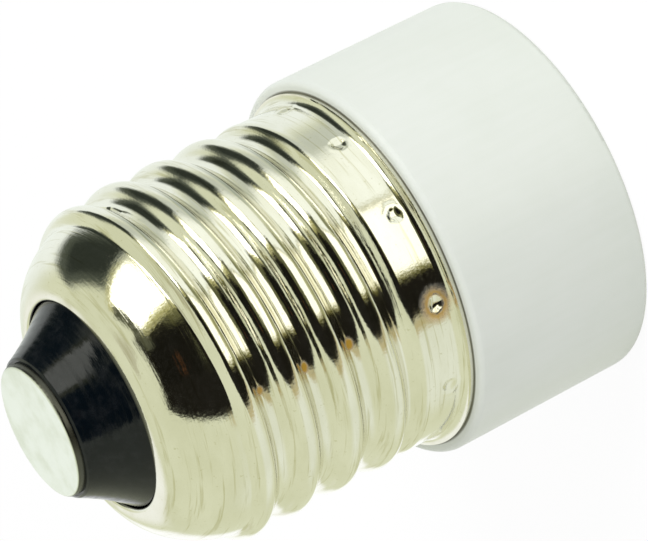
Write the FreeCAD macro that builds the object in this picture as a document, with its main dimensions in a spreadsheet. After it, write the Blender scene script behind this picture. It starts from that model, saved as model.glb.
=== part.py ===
import FreeCAD, Part
import Sketcher

import math
import os
import re

# Lamp socket adapter: a large screw cap on top, a small screw socket in the
# white holder below. Origin at the centre of the socket mouth, +Z towards the
# cap's end contact, so the piece stands on its rim.

doc = FreeCAD.newDocument("socket_adapter")
V = FreeCAD.Vector
near = 1e-4

# Driving dimensions, in millimetres and degrees
dimensions = {
    # white holder
    "skirt_height": 14.62,
    "shoulder_width": 0.84,
    "rim_round": 0.4,
    "shoulder_round": 0.45,
    "mouth_step": 1.3,
    "mouth_depth": 5.0,
    "mouth_lead": 0.6,
    "cavity_clearance": 0.35,
    "socket_depth": 23.4,
    "floor_thickness": 2.4,
    "seat_clearance": 0.05,
    "seat_drop": 0.2,
    "neck_gap": 0.6,
    "neck_wall": 2.0,
    "neck_clearance": 4.08,
    "neck_edge": 0.4,
    "notch_play": 0.9,
    "cut_past": 1.0,
    # screw shell of the cap
    "cap_wall": 0.3,
    "cap_crest_radius": 13.15,
    "crest_stand": 0.2,
    "flare_reach": 0.7,
    "flare_height": 0.95,
    "cap_thread_depth": 1.05,
    "cap_pitch": 3.629,
    "cap_crest_rise": 14.66,
    "cap_thread_start": 3.4,
    "cap_run_in": 1.27,
    "dome_start": 17.36,
    "dome_rise": 5.37,
    "dome_step": 0.72,
    "dome_side_bulge": 1.38,
    "dome_top_bulge": 1.94,
    "dome_width": 5.25,
    "lip_round": 0.3,
    "lip_drop": 0.25,
    # where the thread's last ridge meets the dome
    "dome_blend": 1.2,
    "flank_start": 0.2,
    "flank_fall": 1.6,
    "ridge_hold": 0.4,
    "ridge_run_out": 2.2,
    "ridge_fall": 2.5,
    "groove_fall": 2.0,
    "dome_joint": 0.06,
    # staking dimples round the band
    "dimple_count": 12,
    "dimple_phase": 10.0,
    "dimple_height": 1.6,
    "dimple_ball": 0.9,
    "dimple_depth": 0.3,
    # insulator and end contact
    "lip_clearance": 0.12,
    "flange_grip": 1.7,
    "flange_drop": 0.75,
    "flange_thickness": 1.2,
    "cone_height": 3.85,
    "cone_taper": 2.53,
    "cone_curve": 16.0,
    "contact_margin": 0.3,
    "contact_thickness": 0.55,
    "contact_edge": 0.22,
    "stub_radius": 1.5,
    "stub_length": 3.4,
    "stub_clearance": 0.06,
    "stub_web": 0.6,
    # screw shell of the socket
    "socket_wall": 0.35,
    "socket_crest_radius": 7.35,
    "socket_thread_depth": 0.8,
    "socket_pitch": 2.822,
    "socket_crest_rise": 6.7,
    "socket_shell_gap": 0.3,
    "socket_collar": 1.7,
    "socket_plain_end": 2.8,
    "socket_run_in": 1.4,
    "socket_flare": 0.3,
    "socket_flare_height": 1.0,
    "socket_bend": 0.8,
    "foot_margin": 0.05,
    "foot_clearance": 0.02,
    # rivets, tongue and leads
    "shell_rivet_shank": 0.6,
    "shell_rivet_head": 0.95,
    "shell_rivet_rise": 0.5,
    "shell_rivet_round": 0.3,
    "rivet_clearance": 0.04,
    "tongue_thickness": 0.35,
    "tongue_width": 3.6,
    "tongue_root": 2.4,
    "tongue_bend_place": 2.1,
    "tongue_bend_radius": 0.9,
    "tongue_reach": 2.6,
    "tongue_drop": 0.9,
    "eyelet_shank": 0.95,
    "eyelet_head": 1.6,
    "eyelet_rise": 0.45,
    "eyelet_round": 0.27,
    "strap_thickness": 0.3,
    "strap_width": 2.5,
    "strap_gap": 0.03,
    "strap_stop": 0.78,
    "lead_radius": 0.45,
    "lead_clearance": 0.07,
    "lead_bow": 2.2,
    "lead_entry": 1.6,
    "lead_straight": 1.4,
}

# Places that follow from the dimensions and from each other
places = {
    "band_radius": "cap_crest_radius - crest_stand",
    "skirt_radius": "band_radius + flare_reach + shoulder_width",
    "seat_radius": "band_radius - cap_wall - seat_clearance",
    "neck_radius": "cap_crest_radius - cap_thread_depth - cap_wall - neck_gap",
    "chamber_radius": "neck_radius - neck_wall",
    "cavity_radius": "socket_crest_radius + cavity_clearance",
    "mouth_radius": "cavity_radius + mouth_step",
    "floor_top": "socket_depth + floor_thickness",
    "thread_low": "skirt_height + cap_thread_start",
    "crest_level": "skirt_height + cap_crest_rise",
    "seat_top": "thread_low - seat_drop",
    "seat_slope_top": "seat_top + ( seat_radius - neck_radius ) / 2",
    "dimple_place": "band_radius + dimple_ball - dimple_depth",
    "dimple_level": "skirt_height + dimple_height",
    "dome_low": "skirt_height + dome_start",
    "dome_top": "dome_low + dome_rise",
    "dome_radius": "cap_crest_radius - dome_step",
    "lip_radius": "cap_crest_radius - dome_width",
    "lip_edge": "lip_radius + lip_round",
    "lip_level": "dome_top - lip_drop",
    "ridge_sinks": "dome_low + ridge_hold",
    "ridges_end": "ridge_sinks + ridge_run_out",
    "cone_radius": "lip_radius - lip_clearance",
    "cone_top_radius": "cone_radius - cone_taper",
    "cone_top": "lip_level + cone_height",
    "flange_radius": "lip_radius + flange_grip",
    "flange_top": "dome_top - cap_wall - flange_drop",
    "insulator_bottom": "flange_top - flange_thickness",
    "stub_bore": "stub_radius + stub_clearance",
    "stub_end": "cone_top - stub_length",
    "contact_radius": "cone_top_radius - contact_margin",
    "contact_top": "cone_top + contact_thickness",
    "neck_top": "insulator_bottom - neck_clearance",
    "socket_mouth": "mouth_depth + socket_shell_gap",
    "socket_thread_low": "socket_mouth + socket_collar",
    "socket_thread_high": "socket_depth - socket_plain_end",
    "foot_level": "socket_depth - foot_clearance",
    "foot_face": "foot_level - socket_wall - foot_clearance",
    "rivet_hole": "shell_rivet_shank + rivet_clearance",
    "rivet_place": "socket_crest_radius - socket_bend - shell_rivet_head",
    "foot_radius": "rivet_place - shell_rivet_head - foot_margin",
    "lug_top": "floor_top + strap_thickness",
    "root_face": "socket_depth - tongue_thickness",
    "leaf_top": "root_face - 2 * tongue_bend_radius",
    "leaf_under": "leaf_top - tongue_thickness",
    "eyelet_hole": "eyelet_shank + rivet_clearance",
    "eyelet_under": "root_face - eyelet_rise",
    "eyelet_over": "floor_top + eyelet_rise",
    "strap_inner": "neck_radius + strap_gap",
    "strap_outer": "strap_inner + strap_thickness",
    "strap_root": "rivet_place - strap_width / 2",
    "strap_foot": "seat_slope_top + strap_stop",
    "wire_bore": "lead_radius + lead_clearance",
}

sheet = doc.addObject("Spreadsheet::Sheet", "sizes")
for row, (alias, value) in enumerate(dimensions.items(), start=1):
    sheet.set("A%d" % row, alias)
    sheet.set("B%d" % row, str(value))
    sheet.setAlias("B%d" % row, alias)
doc.recompute()


def written_out(expression, owner=""):
    """The expression with its places written out, and its dimensions named as the owner's."""
    def word(found):
        if found[0] in places:
            return "( %s )" % written_out(places[found[0]], owner)
        return owner * (found[0] in dimensions) + found[0]
    return re.sub(r"[a-z_]+", word, expression)


def size(expression):
    """The value of an expression in dimensions and places."""
    return float(sheet.evalExpression(written_out(expression)))


def new_body(label):
    body = doc.addObject("PartDesign::Body", label)
    body.Label = label
    return body


def origin_part(body, role):
    return next(item for item in body.Origin.OriginFeatures if item.Role == role)


def bind(thing, name, expression):
    thing.setExpression(name, written_out(expression, "sizes."))


def outline(body, name, plane, points, arcs=None, half_turns=None):
    """A closed outline through points, each a pair of expressions. arcs gives the
    radius and side of the edges that are round, by the number of their first point,
    and half_turns the place across of the centre and the side of upright half circles."""
    sketch = body.newObject("Sketcher::SketchObject", name)
    sketch.AttachmentSupport = [(origin_part(body, plane), "")]
    sketch.MapMode = "FlatFace"
    arcs = arcs or {}
    half_turns = half_turns or {}
    corners = [V(size(x), size(y), 0) for x, y in points]
    count = len(points)
    starts = []
    ends = []
    for i, corner in enumerate(corners):
        far = corners[(i + 1) % count]
        if i in arcs or i in half_turns:
            chord = far - corner
            side = (arcs.get(i) or half_turns.get(i))[1]
            reach = size(arcs[i][0]) if i in arcs else chord.Length / 2
            sagitta = reach - math.sqrt(max(reach ** 2 - (chord.Length / 2) ** 2, 0))
            across = V(chord.y, -chord.x, 0).normalize() * sagitta * side
            middle = (corner + far) * 0.5 + across
            forward = (middle - corner).cross(far - middle).z > 0
            ends_of_arc = (corner, far) if forward else (far, corner)
            edge = sketch.addGeometry(Part.Arc(ends_of_arc[0], middle, ends_of_arc[1]), False)
            starts.append((edge, 1 if forward else 2))
            ends.append((edge, 2 if forward else 1))
        else:
            edge = sketch.addGeometry(Part.LineSegment(corner, far), False)
            starts.append((edge, 1))
            ends.append((edge, 2))
    for i in range(count):
        sketch.addConstraint(Sketcher.Constraint("Coincident", *ends[i - 1], *starts[i]))
    for i, (x, y) in enumerate(points):
        for kind, axis, text in (("DistanceX", -2, x), ("DistanceY", -1, y)):
            if text == "0":
                sketch.addConstraint(Sketcher.Constraint("PointOnObject", *starts[i], axis))
            else:
                number = sketch.addConstraint(Sketcher.Constraint(kind, -1, 1, *starts[i], size(text)))
                bind(sketch, "Constraints[%d]" % number, text)
    for i, (radius, side) in arcs.items():
        number = sketch.addConstraint(Sketcher.Constraint("Radius", starts[i][0], size(radius)))
        bind(sketch, "Constraints[%d]" % number, radius)
    for i, (place, side) in half_turns.items():
        number = sketch.addConstraint(Sketcher.Constraint("DistanceX", -1, 1, starts[i][0], 3, size(place)))
        bind(sketch, "Constraints[%d]" % number, place)
    return sketch


def circle(body, name, x, y, radius, level=None):
    """A circle on the body's XY plane, or at a level above it."""
    sketch = body.newObject("Sketcher::SketchObject", name)
    sketch.AttachmentSupport = [(origin_part(body, "XY_Plane"), "")]
    sketch.MapMode = "FlatFace"
    if level:
        bind(sketch, "AttachmentOffset.Base.z", level)
    sketch.addGeometry(Part.Circle(V(size(x), size(y), 0), V(0, 0, 1), size(radius)), False)
    for kind, axis, text in (("DistanceX", -2, x), ("DistanceY", -1, y)):
        if text == "0":
            sketch.addConstraint(Sketcher.Constraint("PointOnObject", 0, 3, axis))
        else:
            number = sketch.addConstraint(Sketcher.Constraint(kind, -1, 1, 0, 3, size(text)))
            bind(sketch, "Constraints[%d]" % number, text)
    number = sketch.addConstraint(Sketcher.Constraint("Radius", 0, size(radius)))
    bind(sketch, "Constraints[%d]" % number, radius)
    return sketch


def revolve(body, name, sketch):
    """A full turn of an outline about the vertical axis."""
    turned = body.newObject("PartDesign::Revolution", name)
    turned.Profile = sketch
    turned.ReferenceAxis = (origin_part(body, "Z_Axis"), [""])
    turned.Angle = 360
    doc.recompute()
    return turned


def through_cut(body, name, sketch):
    """A pocket through everything, up and down."""
    cut = body.newObject("PartDesign::Pocket", name)
    cut.Profile = sketch
    cut.Type = "ThroughAll"
    cut.Midplane = True
    doc.recompute()
    return cut


def edges_at(shape, test):
    return ["Edge%d" % (i + 1) for i, edge in enumerate(shape.Edges) if test(edge)]


def ring_at(radius, height):
    """Tests for the round edge of that radius and height about the vertical axis."""
    def test(edge):
        round_edge = hasattr(edge.Curve, "Radius") and abs(edge.Curve.Radius - size(radius)) < near
        return round_edge and abs(edge.Curve.Center.z - size(height)) < near
    return test


def soften(body, name, base, kind, edges, amount):
    """A fillet or chamfer of the named edges."""
    finish = body.newObject("PartDesign::" + kind, name)
    finish.Base = (base, edges)
    bind(finish, "Radius" if kind == "Fillet" else "Size", amount)
    doc.recompute()
    return finish


# White holder: skirt, shoulder, the neck that carries the cap, the socket's
# cavity and floor, and the wiring chamber above the floor
holder = new_body("holder_body")
holder_outline = outline(holder, "holder_outline", "XZ_Plane", [
    ("mouth_radius + mouth_lead", "0"),
    ("skirt_radius", "0"),
    ("skirt_radius", "skirt_height"),
    ("seat_radius", "skirt_height"),
    ("seat_radius", "seat_top"),
    ("neck_radius", "seat_slope_top"),
    ("neck_radius", "neck_top"),
    ("chamber_radius", "neck_top"),
    ("chamber_radius", "floor_top"),
    ("0", "floor_top"),
    ("0", "socket_depth"),
    ("cavity_radius", "socket_depth"),
    ("cavity_radius", "mouth_depth"),
    ("mouth_radius", "mouth_depth"),
    ("mouth_radius", "mouth_lead"),
])
holder_turned = revolve(holder, "holder_turned", holder_outline)
rim_rounded = soften(holder, "rim_rounded", holder_turned, "Fillet",
                     edges_at(holder_turned.Shape, ring_at("skirt_radius", "0")), "rim_round")
shoulder_rounded = soften(holder, "shoulder_rounded", rim_rounded, "Fillet",
                          edges_at(rim_rounded.Shape, ring_at("skirt_radius", "skirt_height")),
                          "shoulder_round")
neck_chamfered = soften(holder, "neck_chamfered", shoulder_rounded, "Chamfer",
                        edges_at(shoulder_rounded.Shape, ring_at("neck_radius", "neck_top")), "neck_edge")
through_cut(holder, "eyelet_hole", circle(holder, "eyelet_circle", "0", "0", "eyelet_hole"))
for side, sign in (("back", ""), ("front", "-")):
    rivet_circle = circle(holder, "rivet_circle_" + side, "0", sign + "1 * rivet_place", "rivet_hole")
    through_cut(holder, "rivet_hole_" + side, rivet_circle)

# The notch in the neck's back wall lets the strap out of the wiring chamber
half_notch = "( strap_width + notch_play ) / 2"
notch_sketch = outline(holder, "notch_outline", "XZ_Plane", [
    ("-1 * " + half_notch, "floor_top"),
    (half_notch, "floor_top"),
    (half_notch, "neck_top + cut_past"),
    ("-1 * " + half_notch, "neck_top + cut_past"),
])
notch = holder.newObject("PartDesign::Pocket", "strap_notch")
notch.Profile = notch_sketch
bind(notch, "Length", "neck_radius + cut_past")
doc.recompute()

# Seats that the shell's staking dimples are pressed into
dimple_seat = holder.newObject("PartDesign::SubtractiveSphere", "dimple_seat")
bind(dimple_seat, "Radius", "dimple_ball + cap_wall + seat_clearance")
dimple_seat.AttachmentSupport = [(origin_part(holder, "XY_Plane"), "")]
dimple_seat.MapMode = "FlatFace"
bind(dimple_seat, "AttachmentOffset.Base.x", "dimple_place * cos( dimple_phase )")
bind(dimple_seat, "AttachmentOffset.Base.y", "dimple_place * sin( dimple_phase )")
bind(dimple_seat, "AttachmentOffset.Base.z", "dimple_level")
doc.recompute()
dimple_seats = holder.newObject("PartDesign::PolarPattern", "dimple_seats")
dimple_seats.Originals = [dimple_seat]
dimple_seats.Axis = (origin_part(holder, "Z_Axis"), [""])
dimple_seats.Angle = 360
bind(dimple_seats, "Occurrences", "round( dimple_count )")
holder.Tip = dimple_seats
doc.recompute()


# Rolled screw shells: rings round the axis, each one a step along the wall's
# section, with the knuckle thread's wave shifted by the pitch in one turn

around = [2 * math.pi * k / 40 for k in range(40)]


def ease(x, low, high):
    share = min(max((x - low) / (high - low), 0), 1)
    return share * share * (3 - 2 * share)


def knuckle(offset, pitch, depth):
    """How far a knuckle thread lies below its crest, at an offset along the axis:
    two equal arcs, tangent to each other half way down."""
    half = pitch / 2
    offset = abs((offset + half) % pitch - half)
    radius = (half ** 2 + depth ** 2) / (4 * depth)
    if offset < half / 2:
        return radius - math.sqrt(radius ** 2 - offset ** 2)
    return depth - radius + math.sqrt(radius ** 2 - (half - offset) ** 2)


def wall_rings(section, wave, inset):
    """Rings of points round the axis, one for each step of the section, moved inwards
    by the inset at a right angle to the section."""
    rings = []
    for i, (radius, height) in enumerate(section):
        last = section[max(i - 1, 0)]
        ahead = section[min(i + 1, len(section) - 1)]
        ring = []
        for angle in around:
            rise = ahead[1] - last[1]
            run = (ahead[0] - wave(ahead[1], angle)) - (last[0] - wave(last[1], angle))
            length = math.hypot(rise, run)
            reach = radius - wave(height, angle) - inset * rise / length
            ring.append(V(reach * math.cos(angle), reach * math.sin(angle), height + inset * run / length))
        rings.append(ring)
    for end in (0, -1):
        level = sum(point.z for point in rings[end]) / len(around)
        rings[end] = [V(point.x, point.y, level) for point in rings[end]]
    return rings


def spline_skin(rings):
    """A smooth surface, closed round the axis, that passes through the rings. Its poles
    are found by adding what the surface misses the points by, three times over."""
    swell = 6 / (4 + 2 * math.cos(around[1]))
    points = [[V(point.x * swell, point.y * swell, point.z) for point in ring] for ring in rings]
    poles = points
    for _ in range(3):
        inner_rows = []
        for i in range(1, len(poles) - 1):
            quads = zip(poles[i - 1], poles[i], poles[i + 1], points[i])
            inner_rows.append([pole + point - (before + pole * 4 + after) * (1 / 6)
                               for before, pole, after, point in quads])
        poles = [poles[0]] + inner_rows + [poles[-1]]
    spans = len(poles) - 3
    turns = len(around)
    skin = Part.BSplineSurface()
    skin.buildFromPolesMultsKnots(
        poles, [4] + [1] * (spans - 1) + [4], [1] * (turns + 1),
        [k / spans for k in range(spans + 1)], [k / turns for k in range(turns + 1)], False, True, 3, 3)
    return skin


def rolled_wall(section, wave, wall):
    """The solid between the section's own skin and the skin one wall inside it."""
    skins = [spline_skin(wall_rings(section, wave, inset)) for inset in (0, wall)]
    faces = []
    for low, high in ((0, 0.5), (0.5, 1)):
        halves = [skin.copy() for skin in skins]
        for half in halves:
            half.segment(0, 1, low, high)
            faces.append(half.toShape())
        for end in (0, 1):
            faces.append(Part.makeRuledSurface(*[half.uIso(end).toShape() for half in halves]))
    shell = Part.Shell(faces)
    shell.sewShape()
    solid = Part.Solid(shell)
    if solid.Volume < 0:
        solid.reverse()
    return solid


def steps(low, high, count):
    return [low + (high - low) * i / count for i in range(count + 1)]


def cap_form():
    """The outside of the cap's shell: its plain wall's section, from the rim to the lip, and
    the function that gives how far the wall lies inside it at a height and an angle."""
    band = size("band_radius")
    rim = size("skirt_height + cap_wall")
    flare = size("flare_height - cap_wall")
    low = size("thread_low")
    high = size("ridges_end")
    turn = size("cap_pitch")
    run_in = size("cap_run_in")
    dome_low = size("dome_low")
    dome_rise = size("dome_rise")
    edge = size("lip_edge")
    width = size("dome_radius - lip_edge")
    side_bulge = size("dome_side_bulge")
    top_bulge = size("dome_top_bulge")

    def plain(height):
        return band + size("crest_stand") * ease(height, low, low + run_in)

    def dome(height):
        share = min(max((height - dome_low) / dome_rise, 0), 1)
        return edge + width * (1 - share ** side_bulge) ** (1 / top_bulge)

    section = []
    for share in [1 - math.cos(angle) for angle in steps(0, math.pi / 2, 6)]:
        bulge = 1 - math.sqrt(1 - (1 - share) ** 2)
        section.append((band + size("flare_reach") * bulge, rim + flare * share))
    section.extend((band, height) for height in steps(rim + flare, low, 9)[1:])
    rings = round((high - low) / turn * 12)
    section.extend((plain(height), height) for height in steps(low, high, rings)[1:])
    first = math.asin(((high - dome_low) / dome_rise) ** (side_bulge / 2))
    for angle in steps(first, math.pi / 2, 14)[1:]:
        height = dome_low + dome_rise * math.sin(angle) ** (2 / side_bulge)
        section.append((edge + width * math.cos(angle) ** (2 / top_bulge), height))
    for angle in steps(0, math.pi / 2, 3)[1:]:
        reach = edge - size("lip_round") * math.sin(angle)
        section.append((reach, size("dome_top") - size("lip_drop") * (1 - math.cos(angle))))

    crest_level = size("crest_level")
    depth = size("cap_thread_depth")
    blend_low = size("dome_low - dome_blend")
    flank_start = size("flank_start")
    flank_fall = size("flank_fall")
    ridge_sinks = size("ridge_sinks")
    ridge_fall = size("ridge_fall")
    groove_fall = size("groove_fall")
    joint = size("dome_joint")

    def wave(height, angle):
        if height > high + near:
            return 0
        offset = (height - crest_level - turn * angle / (2 * math.pi) + turn / 2) % turn - turn / 2
        ridge = height - offset
        grooved = ease(height, low, low + run_in) * knuckle(offset, turn, depth)
        flank = flank_fall * ease(offset, flank_start, turn / 2) * ease(ridge, blend_low, dome_low)
        sunk = ridge_fall * ease(ridge, ridge_sinks, high)
        threaded = plain(height) - grooved - max(flank, sunk)
        domed = dome(height) - groove_fall * (1 - ease(height, blend_low, dome_low))
        step = threaded - domed
        return plain(height) - domed - (step + math.hypot(step, joint)) / 2
    return section, wave


def placed(label, shape):
    """A sub-part whose shape is set from the sheet's sizes."""
    thing = doc.addObject("Part::Feature", label)
    thing.Label = label
    thing.Shape = shape
    return thing


# Cap shell: the rolled wall, staked into the holder by a ring of dimples
def staked(wall):
    place = size("dimple_place")
    inside = Part.makeCylinder(size("band_radius - cap_wall / 2"), size("2 * dimple_height"),
                               V(0, 0, size("skirt_height")))
    bumps = []
    dents = []
    count = round(size("dimple_count"))
    for k in range(count):
        angle = math.radians(size("dimple_phase") + 360 * k / count)
        centre = V(place * math.cos(angle), place * math.sin(angle), size("dimple_level"))
        bumps.append(Part.makeSphere(size("dimple_ball + cap_wall"), centre).common(inside))
        dents.append(Part.makeSphere(size("dimple_ball"), centre))
    return wall.fuse(bumps).cut(dents)


cap_shell = placed("cap_shell", staked(rolled_wall(*cap_form(), size("cap_wall"))))


# Socket shell: a flared mouth, the female thread, and a foot turned inwards on
# the cavity's floor, with a hole for each rivet
def socket_form():
    """The outside of the socket's shell, from its mouth to the edge of its foot, and how far
    its thread lies inside that at a height and an angle."""
    crest = size("socket_crest_radius")
    mouth = size("socket_mouth")
    collar = size("socket_flare_height")
    low = size("socket_thread_low")
    high = size("socket_thread_high")
    turn = size("socket_pitch")
    run_in = size("socket_run_in")
    depth = size("socket_thread_depth")
    crest_level = size("socket_mouth + socket_crest_rise")
    bend = size("socket_bend")
    floor = size("foot_level")
    section = []
    for share in steps(0, 1, 4):
        section.append((crest + size("socket_flare") * (1 - share) ** 2, mouth + collar * share))
    section.extend((crest, height) for height in steps(mouth + collar, low, 2)[1:])
    section.extend((crest, height) for height in steps(low, high, round((high - low) / turn * 10))[1:])
    section.extend((crest, height) for height in steps(high, floor - bend, 4)[1:])
    for angle in steps(0, math.pi / 2, 4)[1:]:
        section.append((crest - bend * (1 - math.cos(angle)), floor - bend * (1 - math.sin(angle))))
    section.extend((radius, floor) for radius in steps(crest - bend, size("foot_radius"), 3)[1:])

    def wave(height, angle):
        share = ease(height, low, low + run_in) * (1 - ease(height, high - run_in, high))
        return share * knuckle(height - crest_level - turn * angle / (2 * math.pi), turn, depth)
    return section, wave


def riveted(wall):
    for sign in (1, -1):
        hole = Part.makeCylinder(size("rivet_hole"), size("2 * socket_bend"),
                                 V(0, sign * size("rivet_place"), size("socket_depth - socket_bend")))
        wall = wall.cut(hole)
    return wall


socket_shell = placed("socket_shell", riveted(rolled_wall(*socket_form(), size("socket_wall"))))

# Black insulator: a flange held under the dome's lip, and the cone above it
insulator = new_body("cap_insulator")
insulator_outline = outline(insulator, "insulator_outline", "XZ_Plane", [
    ("stub_bore", "insulator_bottom"),
    ("flange_radius", "insulator_bottom"),
    ("flange_radius", "flange_top"),
    ("cone_radius", "flange_top"),
    ("cone_radius", "lip_level"),
    ("cone_top_radius", "cone_top"),
    ("stub_bore", "cone_top"),
], {4: ("cone_curve", -1)})
revolve(insulator, "insulator_turned", insulator_outline)

# End contact: a disc over the insulator with a stub that takes the lead
contact = new_body("base_contact")
contact_outline = outline(contact, "contact_outline", "XZ_Plane", [
    ("wire_bore", "stub_end"),
    ("stub_radius", "stub_end"),
    ("stub_radius", "cone_top"),
    ("contact_radius", "cone_top"),
    ("contact_radius", "contact_top"),
    ("0", "contact_top"),
    ("0", "cone_top - stub_web"),
    ("wire_bore", "cone_top - stub_web"),
])
contact_turned = revolve(contact, "contact_turned", contact_outline)
soften(contact, "contact_rounded", contact_turned, "Fillet",
       edges_at(contact_turned.Shape, ring_at("contact_radius", "contact_top")), "contact_edge")


# Rivets that hold the socket shell's foot to the floor; the one at the back
# also holds the strap's lug
def shell_rivet(label, side, upper_face):
    rivet = new_body(label)
    under = "foot_face - shell_rivet_rise"
    over = upper_face + " + shell_rivet_rise"
    section = outline(rivet, label + "_outline", "XZ_Plane", [
        ("0", under),
        ("shell_rivet_head", under),
        ("shell_rivet_head", "foot_face"),
        ("shell_rivet_shank", "foot_face"),
        ("shell_rivet_shank", upper_face),
        ("shell_rivet_head", upper_face),
        ("shell_rivet_head", over),
        ("0", over),
    ])
    turned = revolve(rivet, label + "_turned", section)
    head_rings = [ring_at("shell_rivet_head", level) for level in (under, over)]
    soften(rivet, label + "_rounded", turned, "Fillet",
           edges_at(turned.Shape, lambda edge: any(ring(edge) for ring in head_rings)), "shell_rivet_round")
    bind(rivet, "Placement.Base.y", side + " * rivet_place")
    doc.recompute()
    return rivet


back_rivet = shell_rivet("shell_rivet_back", "1", "lug_top")
front_rivet = shell_rivet("shell_rivet_front", "-1", "floor_top")


# Centre tongue: a strip folded back on itself, its root under the eyelet's head
tongue = new_body("centre_tongue")
tongue_outline = outline(tongue, "tongue_outline", "XZ_Plane", [
    ("-1 * tongue_root", "socket_depth"),
    ("tongue_bend_place", "socket_depth"),
    ("tongue_bend_place", "leaf_under"),
    ("-1 * tongue_reach", "leaf_under - tongue_drop"),
    ("-1 * tongue_reach", "leaf_top - tongue_drop"),
    ("tongue_bend_place", "leaf_top"),
    ("tongue_bend_place", "root_face"),
    ("-1 * tongue_root", "root_face"),
], half_turns={1: ("tongue_bend_place", -1), 5: ("tongue_bend_place", 1)})
tongue_strip = tongue.newObject("PartDesign::Pad", "tongue_strip")
tongue_strip.Profile = tongue_outline
tongue_strip.Midplane = True
bind(tongue_strip, "Length", "tongue_width")
doc.recompute()
tongue_hole = tongue.newObject("PartDesign::Pocket", "tongue_hole")
tongue_hole.Profile = circle(tongue, "tongue_circle", "0", "0", "eyelet_hole",
                             "socket_depth + tongue_thickness")
tongue_hole.Type = "Length"
bind(tongue_hole, "Length", "3 * tongue_thickness")
doc.recompute()

# Eyelet: clamps the tongue to the floor and takes the lead's lower end
eyelet = new_body("tongue_eyelet")
eyelet_outline = outline(eyelet, "eyelet_outline", "XZ_Plane", [
    ("0", "eyelet_under"),
    ("eyelet_head", "eyelet_under"),
    ("eyelet_head", "root_face"),
    ("eyelet_shank", "root_face"),
    ("eyelet_shank", "floor_top"),
    ("eyelet_head", "floor_top"),
    ("eyelet_head", "eyelet_over"),
    ("wire_bore", "eyelet_over"),
    ("wire_bore", "socket_depth"),
    ("0", "socket_depth"),
])
eyelet_turned = revolve(eyelet, "eyelet_turned", eyelet_outline)
eyelet_rings = [ring_at("eyelet_head", level) for level in ("eyelet_under", "eyelet_over")]
soften(eyelet, "eyelet_rounded", eyelet_turned, "Fillet",
       edges_at(eyelet_turned.Shape, lambda edge: any(ring(edge) for ring in eyelet_rings)), "eyelet_round")

# Strap: from the back rivet through the notch, then down between neck and shell
strap = new_body("shell_strap")
strap_outline = outline(strap, "strap_outline", "YZ_Plane", [
    ("strap_root", "floor_top"),
    ("strap_inner", "floor_top"),
    ("strap_inner", "strap_foot"),
    ("strap_outer", "strap_foot"),
    ("strap_outer", "lug_top"),
    ("strap_root", "lug_top"),
])
strap_strip = strap.newObject("PartDesign::Pad", "strap_strip")
strap_strip.Profile = strap_outline
strap_strip.Midplane = True
bind(strap_strip, "Length", "strap_width")
doc.recompute()
through_cut(strap, "strap_hole", circle(strap, "strap_circle", "0", "rivet_place", "rivet_hole"))


# Lead: from the eyelet's bore to the end contact's stub, slack in the middle
def bent_wire(points, bend_share=0.45):
    """Straight runs through the points, joined by tangent arcs that start at that
    share of the shorter run from each point."""
    edges = []
    start = points[0]
    for i in range(1, len(points) - 1):
        back = points[i - 1] - points[i]
        ahead = points[i + 1] - points[i]
        turn = math.pi - back.getAngle(ahead)
        trim = bend_share * min(back.Length, ahead.Length)
        radius = trim / math.tan(turn / 2)
        first = points[i] + V(back).normalize() * trim
        second = points[i] + V(ahead).normalize() * trim
        bisector = (V(back).normalize() + V(ahead).normalize()).normalize()
        middle = points[i] + bisector * (radius / math.cos(turn / 2) - radius)
        edges.append(Part.LineSegment(start, first).toShape())
        edges.append(Part.Arc(first, middle, second).toShape())
        print("lead bend radius", round(radius, 2))
        start = second
    edges.append(Part.LineSegment(start, points[-1]).toShape())
    return Part.Wire(edges)


lead_low = size("floor_top - lead_entry")
lead_high = size("cone_top - lead_entry")
low_bend = size("eyelet_over + lead_straight")
high_bend = size("insulator_bottom - lead_straight")
lead_path = bent_wire([
    V(0, 0, lead_low),
    V(0, 0, low_bend),
    V(size("lead_bow"), 0, (low_bend + high_bend) / 2),
    V(0, 0, high_bend),
    V(0, 0, lead_high),
])
lead_section = Part.Wire([Part.makeCircle(size("lead_radius"), V(0, 0, lead_low), V(0, 0, 1))])
lead = placed("centre_lead", lead_path.makePipeShell([lead_section], True, False))
print("lead volume over section times length",
      lead.Shape.Volume / (math.pi * size("lead_radius") ** 2 * lead_path.Length))

# Check and write
doc.recompute()
for item in doc.Objects:
    if "Invalid" in item.State or "Error" in item.State:
        raise RuntimeError("%s did not build: %s" % (item.Name, item.State))
pieces = [holder, cap_shell, insulator, contact, socket_shell, back_rivet, front_rivet, tongue, eyelet, strap,
          lead]
for piece in pieces:
    if piece.Shape.isNull() or not piece.Shape.isValid() or len(piece.Shape.Solids) != 1:
        raise RuntimeError("%s has no sound solid" % piece.Label)
os.makedirs("parts", exist_ok=True)
for piece in pieces:
    piece.Shape.exportStep("parts/%s.step" % piece.Label)
    box = piece.Shape.BoundBox
    print("%-18s volume %9.2f  z %6.2f to %6.2f  faces %d" % (
        piece.Label, piece.Shape.Volume, box.ZMin, box.ZMax, len(piece.Shape.Faces)))
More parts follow.
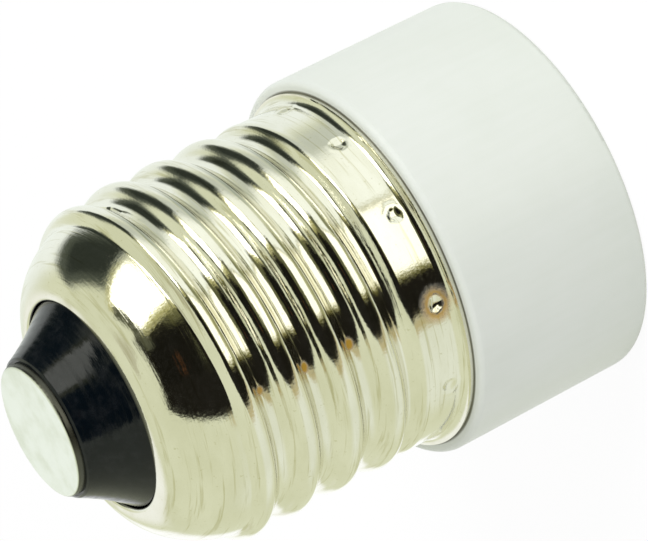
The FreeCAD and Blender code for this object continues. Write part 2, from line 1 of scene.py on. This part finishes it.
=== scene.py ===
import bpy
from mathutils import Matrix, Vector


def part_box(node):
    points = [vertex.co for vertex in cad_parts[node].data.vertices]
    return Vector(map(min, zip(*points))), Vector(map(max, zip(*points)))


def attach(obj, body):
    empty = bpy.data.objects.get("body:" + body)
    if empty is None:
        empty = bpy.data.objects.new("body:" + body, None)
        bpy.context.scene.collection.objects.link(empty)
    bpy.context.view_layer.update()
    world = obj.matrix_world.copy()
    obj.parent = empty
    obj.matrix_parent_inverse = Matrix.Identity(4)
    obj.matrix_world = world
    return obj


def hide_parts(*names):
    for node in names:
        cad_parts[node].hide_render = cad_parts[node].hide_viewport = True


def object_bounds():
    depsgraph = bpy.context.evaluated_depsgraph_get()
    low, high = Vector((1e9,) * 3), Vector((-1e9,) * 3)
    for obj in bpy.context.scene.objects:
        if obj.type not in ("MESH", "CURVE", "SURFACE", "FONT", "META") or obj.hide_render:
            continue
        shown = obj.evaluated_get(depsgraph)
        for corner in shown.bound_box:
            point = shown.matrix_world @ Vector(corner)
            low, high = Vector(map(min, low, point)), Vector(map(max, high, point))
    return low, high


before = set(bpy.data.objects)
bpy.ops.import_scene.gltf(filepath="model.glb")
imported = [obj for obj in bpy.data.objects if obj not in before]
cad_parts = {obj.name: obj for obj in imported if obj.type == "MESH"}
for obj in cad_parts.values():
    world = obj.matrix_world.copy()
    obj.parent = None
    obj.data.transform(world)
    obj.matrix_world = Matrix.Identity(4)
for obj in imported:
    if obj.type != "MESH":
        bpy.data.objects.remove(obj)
cadLow, cadHigh = [list(corner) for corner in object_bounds()]

import math

import bpy
import numpy as np
from mathutils import Matrix, Vector, noise

mm = 0.001  # the sizes below are in millimetres and degrees
body = "root"


# Shader wiring: a Wire is one socket, and what is done to it adds nodes
class Wire:
    def __init__(self, tree, socket=None):
        self.tree = tree
        self.socket = socket

    def node(self, kind, settings=None, inputs=None, output=0):
        made = self.tree.nodes.new("ShaderNode" + kind)
        for name, value in (settings or {}).items():
            setattr(made, name, value)
        for name, value in (inputs or {}).items():
            if isinstance(value, Wire):
                self.tree.links.new(value.socket, made.inputs[name])
            else:
                made.inputs[name].default_value = value
        return Wire(self.tree, made.outputs[output])

    def maths(self, operation, *values):
        return self.node("Math", {"operation": operation}, dict(enumerate(values)))

    def __add__(self, other):
        return self.maths("ADD", self, other)

    def __radd__(self, other):
        return self.maths("ADD", other, self)

    def __sub__(self, other):
        return self.maths("SUBTRACT", self, other)

    def __rsub__(self, other):
        return self.maths("SUBTRACT", other, self)

    def __mul__(self, other):
        return self.maths("MULTIPLY", self, other)

    def __rmul__(self, other):
        return self.maths("MULTIPLY", other, self)

    def __truediv__(self, other):
        return self.maths("DIVIDE", self, other)

    def __rtruediv__(self, other):
        return self.maths("DIVIDE", other, self)

    def __abs__(self):
        return self.maths("ABSOLUTE", self)

    def root(self):
        return self.maths("SQRT", self)

    # first below low, last above high, and a soft step between
    def between(self, low, high, first=0.0, last=1.0):
        inputs = {0: self, 1: low, 2: high, 3: first, 4: last}
        return self.node("MapRange", {"interpolation_type": "SMOOTHSTEP"}, inputs)

    def stretched(self, factors):
        return self.node("VectorMath", {"operation": "MULTIPLY"}, {0: self, 1: factors})

    def part(self, axis):
        return self.node("SeparateXYZ", None, {0: self}, axis)

    def grain(self, scale, detail=2.0, rough=0.5):
        inputs = {"Vector": self, "Scale": scale, "Detail": detail, "Roughness": rough}
        return self.node("TexNoise", None, inputs)

    # goes from the first colour to the second as this mask goes from 0 to 1
    def blend(self, first, second):
        return self.node("Mix", {"data_type": "RGBA"}, {0: self, 6: first, 7: second}, 2)


def colour(red, green, blue):
    return (red, green, blue, 1.0)


# A material whose coordinates are the frame's own, in millimetres
class Finish:
    def __init__(self, name):
        self.material = bpy.data.materials.new(name)
        self.material.use_nodes = True
        self.tree = self.material.node_tree
        self.shader = next(node for node in self.tree.nodes if node.type == "BSDF_PRINCIPLED")
        self.place = Wire(self.tree).node("TexCoord", None, None, "Object").stretched((1 / mm,) * 3)

    def fixed(self, name, value):
        self.shader.inputs[name].default_value = value

    def varied(self, name, wire):
        self.tree.links.new(wire.socket, self.shader.inputs[name])

    def bumped(self, height, distance, strength=1.0):
        inputs = {"Height": height, "Distance": distance * mm, "Strength": strength}
        self.varied("Normal", self.place.node("Bump", None, inputs))

    # the angle about the vertical axis, in radians
    def around(self):
        return self.place.maths("ARCTAN2", self.place.part(1), self.place.part(0))

    # the distance from that axis
    def reach(self):
        flat = self.place.stretched((1, 1, 0))
        return flat.node("VectorMath", {"operation": "LENGTH"}, {0: flat}, 1)


# Meshes: rings of points round the axis, each one joined to the next. A ring may
# have as many points as the next one, twice as many or half as many.
def joinRings(start, count, nextStart, nextCount):
    faces = []
    for k in range(min(count, nextCount)):
        if count == nextCount:
            after = (k + 1) % count
            faces.append((start + k, start + after, nextStart + after, nextStart + k))
        elif count > nextCount:
            low = [start + (2 * k + step) % count for step in (0, 1, 2)]
            faces.append((*low, nextStart + (k + 1) % nextCount, nextStart + k))
        else:
            high = [nextStart + (2 * k + step) % nextCount for step in (2, 1, 0)]
            faces.append((start + k, start + (k + 1) % count, *high))
    return faces


def ringPiece(name, rings, creaseAngle):
    starts = [0]
    for ring in rings:
        starts.append(starts[-1] + len(ring))
    faces = []
    for i, ring in enumerate(rings):
        after = (i + 1) % len(rings)
        faces.extend(joinRings(starts[i], len(ring), starts[after], len(rings[after])))
    mesh = bpy.data.meshes.new(name)
    mesh.from_pydata((np.concatenate(rings) * mm).tolist(), [], faces)
    mesh.shade_smooth()
    mesh.set_sharp_from_angle(angle=math.radians(creaseAngle))
    piece = bpy.data.objects.new(name, mesh)
    bpy.context.scene.collection.objects.link(piece)
    return piece


def turns(count):
    return np.arange(count) * 2 * np.pi / count


def ringOf(reach, level, turn):
    return np.stack([reach * np.cos(turn), reach * np.sin(turn), level + 0 * turn], axis=1)


def ease(value, low, high):
    share = np.clip((value - low) / (high - low), 0, 1)
    return share * share * (3 - 2 * share)


# The small unevenness of a pressed or moulded surface, the same on every run
def uneven(points, span, height):
    return height * np.array([noise.noise(Vector(point) / span) for point in points])


def dress(piece, node, finish):
    piece.data.materials.append(finish)
    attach(piece, body)
    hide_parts(node)


def paint(node, finish):
    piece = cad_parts[node]
    for slot in piece.material_slots:
        slot.material = finish


# Cap shell: one rolled sheet with a flared rim, staking dimples, a knuckle thread,
# a dome and a turned-in lip
shell = {
    "wall": 0.3,
    "bandRadius": 12.95,
    "flareHeight": 0.95,
    "crestRadius": 13.15,
    "threadDepth": 1.05,
    "pitch": 3.629,
    "crestRise": 14.66,  # this and the next three are heights above the shoulder
    "threadStart": 3.4,
    "domeStart": 17.36,
    "dimpleRise": 1.6,
    "threadRunIn": 1.27,
    "domeStep": 0.72,
    "domeSideBulge": 1.38,
    "domeTopBulge": 1.94,
    "domeBlend": 1.2,
    "flankStart": 0.2,
    "flankFall": 1.6,
    "ridgeHold": 0.4,
    "ridgeRunOut": 2.2,
    "ridgeFall": 2.5,
    "grooveFall": 2.0,
    "domeJoint": 0.06,
    "lipRadius": 7.9,
    "lipRound": 0.3,
    "lipDrop": 0.25,
    "bandColumns": 576,  # fine enough for the dimples
    "columns": 288,
    "flareRows": 12,
    "bandRows": 31,
    "threadRows": 164,
    "domeRows": 50,
    "lipRows": 7,
    "innerRows": 40,
    "dimples": 12,
    "dimplePhase": 10.0,
    "dimpleBall": 0.9,
    "dimpleDepth": 0.17,
    "dimpleEdge": 0.05,
    "dimpleUneven": 0.07,
    "burrPlace": 0.72,
    "burrWidth": 0.16,
    "burrHeight": 0.03,
    "waveSpan": 4.0,
    "waveHeight": 0.006,
}
shellDents = [  # angle, height, radius and depth
    (-72, 21.0, 0.5, 0.03),
    (-58, 25.6, 0.4, 0.02),
    (-84, 28.4, 0.35, 0.015),
]
shellLow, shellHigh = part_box("cap_shell")
shoulder = shellLow.z / mm
flareRadius = shellHigh.x / mm
domeTop = shellHigh.z / mm
domeLow = shoulder + shell["domeStart"]
domeEdge = shell["lipRadius"] + shell["lipRound"]
domeWidth = shell["crestRadius"] - shell["domeStep"] - domeEdge
ridgesEnd = domeLow + shell["ridgeHold"] + shell["ridgeRunOut"]


def knuckle(offset):
    half = shell["pitch"] / 2
    depth = shell["threadDepth"]
    radius = (half ** 2 + depth ** 2) / (4 * depth)
    offset = np.abs((offset + half) % shell["pitch"] - half)
    crest = radius - np.sqrt(np.maximum(radius ** 2 - offset ** 2, 0))
    root = depth - radius + np.sqrt(np.maximum(radius ** 2 - (half - offset) ** 2, 0))
    return np.where(offset < half / 2, crest, root)


# Outside radius of the wall without its thread, and of the dome by itself
def plainWall(height):
    start = shoulder + shell["threadStart"]
    stand = shell["crestRadius"] - shell["bandRadius"]
    return shell["bandRadius"] + stand * ease(height, start, start + shell["threadRunIn"])


def domeWall(height):
    share = np.clip((height - domeLow) / (domeTop - domeLow), 0, 1)
    return domeEdge + domeWidth * (1 - share ** shell["domeSideBulge"]) ** (1 / shell["domeTopBulge"])


# How far the wall lies inside the plain one: the grooves, and the last ridge, whose
# upper flank falls to the dome and which sinks into it where it runs out
def threadWave(height, turn):
    if height > ridgesEnd + 1e-6:
        return 0 * turn
    pitch = shell["pitch"]
    start = shoulder + shell["threadStart"]
    sinks = domeLow + shell["ridgeHold"]
    offset = height - shoulder - shell["crestRise"] - pitch * turn / (2 * np.pi)
    offset = (offset + pitch / 2) % pitch - pitch / 2
    ridge = height - offset
    grooved = ease(height, start, start + shell["threadRunIn"]) * knuckle(offset)
    blendStart = domeLow - shell["domeBlend"]
    flank = ease(offset, shell["flankStart"], pitch / 2) * ease(ridge, blendStart, domeLow)
    sunk = shell["ridgeFall"] * ease(ridge, sinks, ridgesEnd)
    threaded = plainWall(height) - grooved - np.maximum(shell["flankFall"] * flank, sunk)
    domed = domeWall(height) - shell["grooveFall"] * (1 - ease(height, blendStart, domeLow))
    step = threaded - domed
    return plainWall(height) - domed - (step + np.hypot(step, shell["domeJoint"])) / 2


# Radius, height and count of points of each ring, from the rim to the lip
def shellSection():
    band = shell["bandRadius"]
    fine = shell["bandColumns"]
    coarse = shell["columns"]
    rim = shoulder + shell["wall"]
    flare = shell["flareHeight"] - shell["wall"]
    start = shoulder + shell["threadStart"]
    section = []
    for share in 1 - np.cos(np.linspace(0, np.pi / 2, shell["flareRows"])):
        bulge = 1 - math.sqrt(1 - (1 - share) ** 2)
        section.append((band + (flareRadius - band) * bulge, rim + flare * share, fine))
    for height in np.linspace(rim + flare, start, shell["bandRows"])[1:]:
        section.append((band, height, fine))
    for height in np.linspace(start, ridgesEnd, shell["threadRows"])[1:]:
        section.append((plainWall(height), height, coarse))
    first = math.asin(((ridgesEnd - domeLow) / (domeTop - domeLow)) ** (shell["domeSideBulge"] / 2))
    for angle in np.linspace(first, np.pi / 2, shell["domeRows"])[1:]:
        height = domeLow + (domeTop - domeLow) * math.sin(angle) ** (2 / shell["domeSideBulge"])
        section.append((domeWall(height), height, coarse))
    for angle in np.linspace(0, np.pi / 2, shell["lipRows"])[1:]:
        drop = shell["lipDrop"] * (1 - math.cos(angle))
        section.append((domeEdge - shell["lipRound"] * math.sin(angle), domeTop - drop, coarse))
    return section


# One ring of the sheet's face that lies an inset inside the section
def shellFace(section, i, inset):
    radius, height, count = section[i]
    before = section[max(i - 1, 0)]
    after = section[min(i + 1, len(section) - 1)]
    turn = turns(count)
    rise = after[1] - before[1]
    run = (after[0] - threadWave(after[1], turn)) - (before[0] - threadWave(before[1], turn))
    length = np.hypot(rise, run)
    reach = radius - threadWave(height, turn) - inset * rise / length
    level = height + inset * run / length
    if i in (0, len(section) - 1):
        level = np.full(count, level.mean())
    return reach, level, turn


# How deep the dimples and dents press the sheet in
def pressedIn(reach, level, turn):
    depth = np.zeros(len(turn))
    for k in range(shell["dimples"]):
        middle = math.radians(shell["dimplePhase"]) + 2 * math.pi * k / shell["dimples"]
        across = shell["bandRadius"] * np.angle(np.exp(1j * (turn - middle)))
        up = level - shoulder - shell["dimpleRise"]
        heading = np.arctan2(up, across)
        lobes = np.sin(3 * heading + 2 * k) + 0.6 * np.sin(7 * heading + k)
        far = np.hypot(across, up) * (1 + shell["dimpleUneven"] * lobes)
        ball = shell["dimpleBall"]
        sunk = np.sqrt(np.maximum(ball ** 2 - far ** 2, 0)) - ball + shell["dimpleDepth"]
        depth += 0.5 * (sunk + np.hypot(sunk, shell["dimpleEdge"])) * (far < 2 * ball)
        depth -= shell["burrHeight"] * np.exp(-((far - shell["burrPlace"]) / shell["burrWidth"]) ** 2)
    for angle, height, radius, sink in shellDents:
        across = reach * np.angle(np.exp(1j * (turn - math.radians(angle))))
        depth += sink * np.exp(-(across ** 2 + (level - height) ** 2) / radius ** 2)
    return depth


def makeShell(finish):
    section = shellSection()
    rings = []
    for i in range(len(section)):
        reach, level, turn = shellFace(section, i, 0)
        ripple = uneven(ringOf(reach, level, turn), shell["waveSpan"], shell["waveHeight"])
        rings.append(ringOf(reach - pressedIn(reach, level, turn) + ripple, level, turn))
    picked = np.linspace(len(section) - 1, 0, shell["innerRows"]).round().astype(int)
    coarse = [(radius, height, shell["columns"]) for radius, height, count in section]
    for i in picked:
        reach, level, turn = shellFace(coarse, i, shell["wall"])
        rings.append(ringOf(reach - pressedIn(reach, level, turn), level, turn))
    dress(ringPiece("capShell", rings, 50), "cap_shell", finish)
    print("cap shell: rings", len(rings))


# Insulator: a flange under the dome's lip and a glassy cone above it, with the
# faint rings of its mould
cone = {
    "bore": 1.56,
    "flange": 1.2,
    "rimRadius": 7.78,
    "edge": 37.1,
    "topRadius": 5.25,
    "curve": 16.0,
    "topRound": 0.12,
    "columns": 256,
    "rows": 110,
    "ripple": 0.0025,
    "rippleSpan": 0.62,
}


def makeInsulator(finish):
    low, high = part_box("cap_insulator")
    bottom = low.z / mm
    top = high.z / mm
    flange = high.x / mm
    count = cone["columns"]
    start = Vector((cone["rimRadius"], cone["edge"]))
    end = Vector((cone["topRadius"], top))
    chord = end - start
    rise = cone["curve"] - math.sqrt(cone["curve"] ** 2 - (chord.length / 2) ** 2)
    inward = Vector((-chord.y, chord.x)).normalized() * rise
    flangeTop = bottom + cone["flange"]
    outline = [(flange, bottom), (flange, flangeTop), (cone["rimRadius"], flangeTop)]
    rings = [ringOf(np.full(count, radius), height, turns(count)) for radius, height in outline]
    for share in np.linspace(0, 1, cone["rows"]):
        spot = start + chord * share + inward * 4 * share * (1 - share)
        ripple = cone["ripple"] * math.sin(2 * math.pi * spot.y / cone["rippleSpan"])
        ripple *= ease(share, 0, 0.1)
        eased = cone["topRound"] * ease(share, 0.97, 1)
        rings.append(ringOf(np.full(count, spot.x + ripple - eased), spot.y, turns(count)))
    rings.append(ringOf(np.full(count, cone["bore"]), top, turns(count)))
    rings.append(ringOf(np.full(count, cone["bore"]), bottom, turns(count)))
    dress(ringPiece("capInsulator", rings, 35), "cap_insulator", finish)
    print("insulator: rings", len(rings))


# White moulding, with a painted contact shadow: a dark ring on its shoulder round the metal
plastic = {
    "dim": colour(0.77, 0.81, 0.745),
    "pale": colour(0.80, 0.835, 0.78),
    # the dark colour below is a painted contact shadow next to the metal
    "paintedShadow": colour(0.16, 0.16, 0.12),
    "paintedShadowStart": 0.02,
    "paintedShadowEnd": 0.2,
    "streakShare": 0.4,
    "smooth": 0.36,
    "rough": 0.46,
    "grainHeight": 0.004,
}


def whitePlastic():
    finish = Finish("whitePlastic")
    streak = finish.place.stretched((1, 1, 0.08)).grain(1.6, 3.0, 0.6)
    mottle = finish.place.grain(0.18, 3.0, 0.5)
    streaks = plastic["streakShare"]
    tone = streak.between(0.3, 0.7) * streaks + mottle.between(0.3, 0.7) * (1 - streaks)
    seen = tone.blend(plastic["dim"], plastic["pale"])
    # A dark ring on the shoulder next to the metal: painted contact shadow
    start = flareRadius + plastic["paintedShadowStart"]
    paintedShadow = finish.reach().between(start, flareRadius + plastic["paintedShadowEnd"], 1.0, 0.0)
    paintedShadow = paintedShadow * finish.place.part(2).between(shoulder - 0.1, shoulder - 0.05)
    finish.varied("Base Color", paintedShadow.blend(seen, plastic["paintedShadow"]))
    finish.varied("Roughness", streak.between(0.2, 0.8, plastic["smooth"], plastic["rough"]))
    finish.bumped(finish.place.grain(9, 3.0, 0.6) + streak * 2, plastic["grainHeight"])
    return finish.material


# Nickel plating with rolling lines, an olive film and a few amber spots of tarnish
tarnish = [  # angle, height, half width, half height, clear middle and strength
    (-110, 16.2, 1.2, 1.05, 0.62, 1.0),
    (-110, 22.95, 0.5, 0.36, 0, 1.0),
    (-110, 26.65, 0.45, 0.32, 0, 1.0),
    (-110, 30.3, 0.35, 0.3, 0, 0.9),
]
plate = {
    "pale": colour(0.87, 0.855, 0.775),
    "warm": colour(0.80, 0.785, 0.68),
    "olive": colour(0.50, 0.47, 0.26),
    "amber": colour(0.58, 0.34, 0.035),
    "lineFilm": 0.5,
    "speckFilm": 0.35,
    "spotEdge": 0.3,
    "dulled": 0.65,  # how far tarnish takes the metal's mirror away
    "roughened": 0.35,
    "smooth": 0.05,
    "rough": 0.13,
    "lineHeight": 0.011,
    "grainHeight": 0.004,
}


def nickelPlate():
    finish = Finish("nickelPlate")
    turn = finish.around()
    height = finish.place.part(2)
    patches = finish.place.stretched((0.35, 0.35, 1)).grain(0.55, 3.0, 0.6)
    lines = finish.place.stretched((0.04, 0.04, 1)).grain(3.0, 3.0, 0.65)
    specks = finish.place.grain(3.6, 2.0, 0.6)
    film = lines.between(0.54, 0.68) * plate["lineFilm"] + specks.between(0.66, 0.74) * plate["speckFilm"]
    seen = film.blend(patches.between(0.3, 0.7).blend(plate["warm"], plate["pale"]), plate["olive"])
    aged = 0
    for angle, level, wide, tall, clear, strength in tarnish:
        across = (turn - math.radians(angle)) * (shell["bandRadius"] / wide)
        up = (height - level) / tall
        far = (across * across + up * up).root() + (specks - 0.5) * plate["spotEdge"]
        spot = far.between(0.5, 1.35, 1.0, 0.0) * strength
        if clear:
            spot = spot * far.between(clear - 0.2, clear + 0.1)
        aged = spot + aged
    finish.varied("Base Color", aged.blend(seen, plate["amber"]))
    finish.varied("Metallic", 1 - aged * plate["dulled"])
    polish = finish.place.grain(3, 4.0, 0.6).between(0.3, 0.75, plate["smooth"], plate["rough"])
    finish.varied("Roughness", polish + aged * plate["roughened"])
    grain = finish.place.grain(5, 2.0, 0.5)
    finish.bumped(lines + grain * (plate["grainHeight"] / plate["lineHeight"]), plate["lineHeight"])
    return finish.material


# Black glass, dulled in faint rings
glass = {
    "clean": colour(0.002, 0.004, 0.006),
    "dusty": colour(0.010, 0.012, 0.014),
    "smooth": 0.05,
    "rough": 0.22,
    "gloss": 0.32,
    "rippleHeight": 0.008,
}


def blackGlass():
    finish = Finish("blackGlass")
    film = finish.place.grain(1.2, 4.0, 0.6)
    finish.varied("Base Color", film.between(0.4, 0.8).blend(glass["clean"], glass["dusty"]))
    rings = finish.place.stretched((0.12, 0.12, 1)).grain(3.4, 3.0, 0.7)
    finish.varied("Roughness", rings.between(0.44, 0.6, glass["smooth"], glass["rough"]))
    finish.fixed("Specular IOR Level", glass["gloss"])
    finish.bumped(rings + finish.place.grain(2.5, 3.0, 0.6) * 0.5, glass["rippleHeight"])
    return finish.material


# End contact: matt and faintly smudged, with a painted dark reflection along its rounded rim
disc = {
    "pale": colour(0.89, 0.93, 0.89),
    "smudged": colour(0.82, 0.86, 0.80),
    # the rim colour is a painted dark reflection of the rounded edge
    "rim": colour(0.10, 0.10, 0.085),
    "edgeReflectionStart": 0.11,  # these two are distances in from the edge
    "edgeReflectionFull": 0.03,
    "smooth": 0.34,
    "rough": 0.46,
    "grainHeight": 0.003,
}


def tinnedDisc():
    finish = Finish("tinnedDisc")
    smudge = finish.place.grain(0.45, 4.0, 0.6)
    seen = smudge.between(0.4, 0.75).blend(disc["pale"], disc["smudged"])
    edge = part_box("base_contact")[1].x / mm
    # Painted dark reflection: a dark ring at the disc's rounded edge
    rim = finish.reach().between(edge - disc["edgeReflectionStart"], edge - disc["edgeReflectionFull"])
    finish.varied("Base Color", rim.blend(seen, disc["rim"]))
    finish.fixed("Metallic", 1.0)
    finish.varied("Roughness", smudge.between(0.3, 0.7, disc["smooth"], disc["rough"]))
    finish.bumped(finish.place.grain(6, 3.0, 0.6), disc["grainHeight"])
    return finish.material


# The metal parts inside: dark and pale colour, roughness, and the nodes that have it
innerMetals = {
    "socketPlate": (colour(0.70, 0.67, 0.58), colour(0.78, 0.75, 0.68), 0.18, ["socket_shell"]),
    "rivetSteel": (colour(0.48, 0.47, 0.45), colour(0.60, 0.59, 0.57), 0.25,
                   ["shell_rivet_back", "shell_rivet_front"]),
    "springBronze": (colour(0.66, 0.45, 0.26), colour(0.76, 0.55, 0.33), 0.28,
                     ["centre_tongue", "tongue_eyelet", "shell_strap"]),
    "copperWire": (colour(0.70, 0.36, 0.22), colour(0.80, 0.44, 0.28), 0.25, ["centre_lead"]),
}


def sheetMetal(name, dark, pale, roughness):
    finish = Finish(name)
    worn = finish.place.grain(0.9, 4.0, 0.6)
    finish.varied("Base Color", worn.between(0.3, 0.7).blend(dark, pale))
    finish.fixed("Metallic", 1.0)
    finish.varied("Roughness", worn.between(0.3, 0.7, roughness, roughness + 0.12))
    finish.bumped(finish.place.grain(7, 3.0, 0.6), 0.004)
    return finish.material


def paintInnerMetals():
    for name, (dark, pale, roughness, nodes) in innerMetals.items():
        finish = sheetMetal(name, dark, pale, roughness)
        for node in nodes:
            paint(node, finish)
    print("inner metals:", len(innerMetals))


# Studio: a pale floor, one soft key light and a bright surround with a few darker
# flags in it, which give the plated shell its streaks
studio = {
    "floorSpan": 6000,
    "keyPlace": (260, -260, 330),
    "keySize": 220,
    "keyPower": 0.85,
    "roomLight": 0.71,
    "roomShade": (0.75, 0.78, 0.58),
    "floorLift": 0.88,
    "floorGlow": 1.03,
}
# Each flag: middle and half width round the object, middle and half height, softness,
# all in degrees, and its colour. A later one covers an earlier one.
flags = {
    "farSideLow": (-168, 38, -28, 26, 14, (0.84, 0.88, 0.76)),
    "backPaper": (55, 32, -12, 30, 12, (0.95, 1.0, 0.96)),
    "backWhite": (98, 18, 28, 16, 8, (1.0, 1.02, 0.98)),
    "farWhite": (106, 9, -16, 18, 4, (1.1, 1.12, 1.12)),
    "lowPale": (28, 27, -45, 8, 10, (0.40, 0.45, 0.40)),
    "topDim": (-8, 42, 84, 14, 6, (0.56, 0.56, 0.40)),
    "roomInFront": (-91, 44, 31, 31, 3, (0.022, 0.021, 0.012)),
    "roomDark": (-98, 34, 38, 22, 5, (0.008, 0.0075, 0.005)),
    "darkLeft": (-119, 15, -4, 60, 3, (0.012, 0.011, 0.008)),
    "amberGlow": (-92, 8, 33, 0.4, 2, (0.15, 0.06, 0.02)),
    "amberEdge": (-138, 4, -30, 38, 4, (0.55, 0.48, 0.26)),
    "oliveCorner": (-58, 8, 17, 8, 4, (0.14, 0.14, 0.06)),
    "lowGlow": (-81, 26, -29, 29, 3, (0.36, 0.34, 0.12)),
    "lowBox": (-81, 22.5, -29, 25.5, 3, (1.5, 1.5, 1.3)),
    "lowFloor": (-60, 62, -72, 12, 10, (0.40, 0.40, 0.20)),
    "lowOlive": (-37, 11, -62, 14, 6, (0.24, 0.25, 0.13)),
    "sideGlow": (-32, 26, 31, 22, 3, (0.55, 0.53, 0.24)),
    "sideBox": (-31, 20, 31, 17, 3, (2.6, 2.62, 2.3)),
    "boxRim": (-41, 28, 51.5, 4.5, 2, (0.10, 0.105, 0.065)),
    "sideBoxLow": (-30, 26, -18, 28, 4, (1.1, 1.14, 1.04)),
    "oliveShelf": (-73, 24, 5, 8, 3, (0.13, 0.135, 0.065)),
    "shelfLine": (-42, 13, 12.5, 1.2, 1.5, (0.34, 0.34, 0.20)),
    "sideShade": (3, 13, -8, 26, 9, (0.62, 0.66, 0.58)),
    "sideFlag": (20, 26, 19, 20, 5, (0.085, 0.097, 0.075)),
    "sideFlagCore": (16, 20, 18, 12, 4, (0.030, 0.036, 0.028)),
}


# How far the angle is from the middle, the short way round
def angleFrom(wire, middle):
    turned = wire - (middle - 540)
    return abs(turned.maths("FLOORED_MODULO", turned, 360) - 180)


def makeSurround():
    world = bpy.data.worlds.new("surround")
    bpy.context.scene.world = world
    world.use_nodes = True
    tree = world.node_tree
    tree.nodes.clear()
    aim = Wire(tree).node("TexCoord", None, None, "Generated")
    side = aim.maths("ARCTAN2", aim.part(1), aim.part(0)) * (180 / math.pi)
    up = aim.maths("ARCSINE", aim.part(2)) * (180 / math.pi)
    seen = colour(*studio["roomShade"])
    for middle, half, level, tall, soft, shade in flags.values():
        across = angleFrom(side, middle).between(half - soft, half + soft, 1.0, 0.0)
        along = abs(up - level).between(tall - soft, tall + soft, 1.0, 0.0)
        seen = (across * along).blend(seen, colour(*shade))
    light = studio["roomLight"]
    lit = aim.node("LightPath", None, None, "Is Glossy Ray").blend(colour(light, light, light), seen)
    lit = aim.node("LightPath", None, None, "Is Camera Ray").blend(lit, colour(1, 1, 1))
    glow = aim.node("Background", None, {"Color": lit, "Strength": 1.0})
    tree.links.new(glow.socket, tree.nodes.new("ShaderNodeOutputWorld").inputs[0])
    print("surround: flags", len(flags))


def makeFloor():
    span = studio["floorSpan"] * mm / 2
    mesh = bpy.data.meshes.new("floor")
    corners = [(-span, -span, 0), (span, -span, 0), (span, span, 0), (-span, span, 0)]
    mesh.from_pydata(corners, [], [(0, 1, 2, 3)])
    floor = bpy.data.objects.new("floor", mesh)
    bpy.context.scene.collection.objects.link(floor)
    material = bpy.data.materials.new("paleFloor")
    material.use_nodes = True
    tree = material.node_tree
    tree.nodes.clear()
    start = Wire(tree)
    paper = start.node("BsdfDiffuse", None, {"Color": colour(0.9, 0.9, 0.9)})
    glow = start.node("Emission", None, {"Color": colour(1, 1, 1), "Strength": studio["floorGlow"]})
    share = start.node("LightPath", None, None, "Is Camera Ray") * studio["floorLift"]
    mixed = start.node("MixShader", None, {0: share, 1: paper, 2: glow})
    tree.links.new(mixed.socket, tree.nodes.new("ShaderNodeOutputMaterial").inputs[0])
    mesh.materials.append(material)
    floor.visible_glossy = False
    print("floor: span", studio["floorSpan"])


def makeKey():
    light = bpy.data.lights.new("key", "AREA")
    light.shape = "DISK"
    light.size = studio["keySize"] * mm
    light.energy = studio["keyPower"]
    lamp = bpy.data.objects.new("key", light)
    lamp.location = Vector(studio["keyPlace"]) * mm
    aim = Vector((0, 0, 0.5 * cadHigh[2])) - lamp.location
    lamp.rotation_mode = "QUATERNION"
    lamp.rotation_quaternion = aim.to_track_quat("-Z", "Y")
    lamp.visible_glossy = False
    lamp.visible_camera = False
    bpy.context.scene.collection.objects.link(lamp)
    print("key light: power", studio["keyPower"])


# Camera: from in front and a little above, rolled over as in the photograph
view = {
    "place": (1.037, -263.18, 133.81),
    "azimuth": 0.0,
    "elevation": 23.92,
    "roll": -116.91,
    "lens": 226.58,
    "sensor": 36.0,
}


def makeCamera():
    data = bpy.data.cameras.new("camera")
    data.lens = view["lens"]
    data.sensor_width = view["sensor"]
    camera = bpy.data.objects.new("camera", data)
    tilt = Matrix.Rotation(math.radians(90 - view["elevation"]), 4, "X")
    swing = Matrix.Rotation(math.radians(view["azimuth"]), 4, "Z")
    roll = Matrix.Rotation(math.radians(view["roll"]), 4, "Z")
    camera.matrix_world = Matrix.Translation(Vector(view["place"]) * mm) @ swing @ tilt @ roll
    bpy.context.scene.collection.objects.link(camera)
    bpy.context.scene.camera = camera
    print("camera: lens", view["lens"])


makeCamera()
makeFloor()
makeKey()
makeSurround()
makeShell(nickelPlate())
makeInsulator(blackGlass())
paint("holder_body", whitePlastic())
paint("base_contact", tinnedDisc())
paintInnerMetals()
print("finishes: done")

bpy.context.scene.view_settings.view_transform = "Standard"
